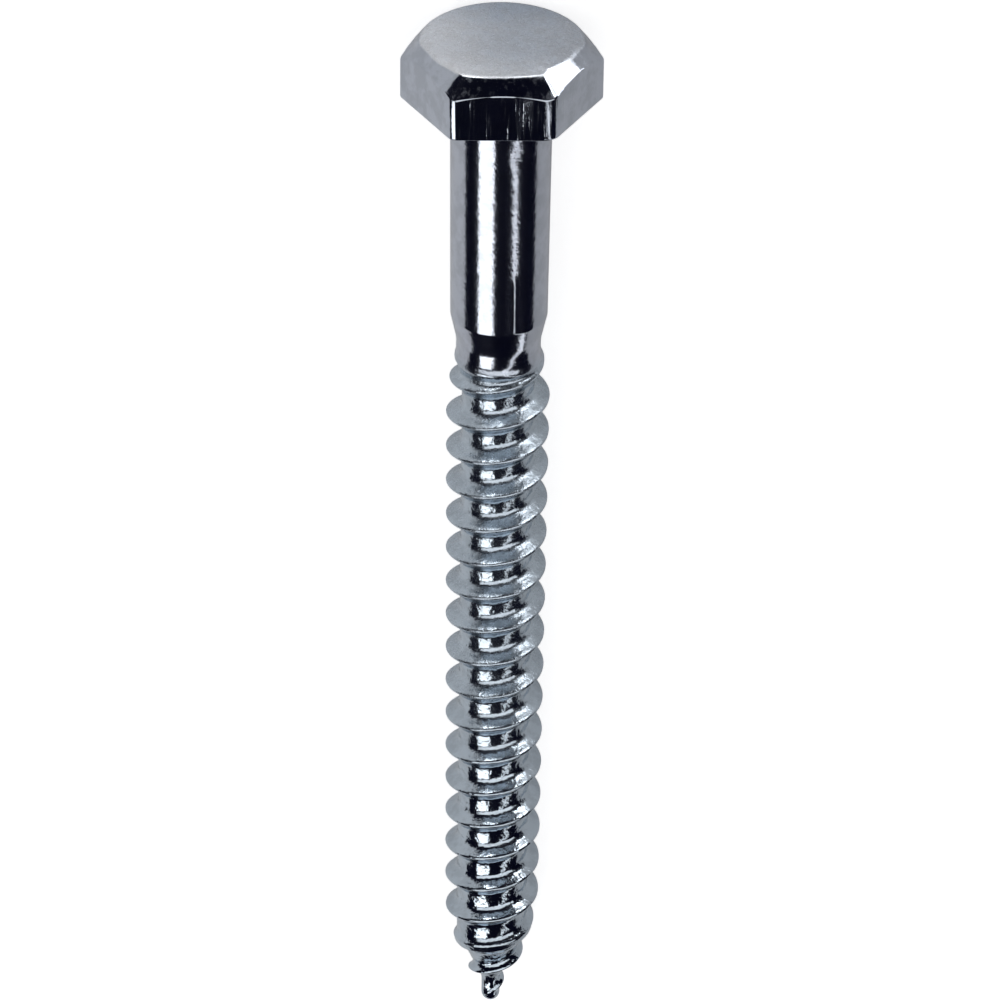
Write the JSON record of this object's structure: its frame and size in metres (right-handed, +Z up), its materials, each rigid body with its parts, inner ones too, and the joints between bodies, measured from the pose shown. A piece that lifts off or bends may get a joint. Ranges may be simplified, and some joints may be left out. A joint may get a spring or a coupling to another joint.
{
  "type": "lag screw",
  "caption": "Zinc-plated hex head lag screw with a plain shank, coarse wood thread and gimlet point, for fastening timber.",
  "frame": {"origin": "middle of the footprint of the lying screw, on the floor", "axes": "+Z up; the screw lies along Y, its head toward +Y and its point toward -Y; +X across the head"},
  "size_m": [0.0124, 0.0726, 0.0109],
  "materials": {
    "zinc_plated_steel": "bright zinc plating with a cool cast, slightly mottled"
  },
  "bodies": {
    "root": {"lag_screw": "zinc_plated_steel"}
  },
  "joints": []
}
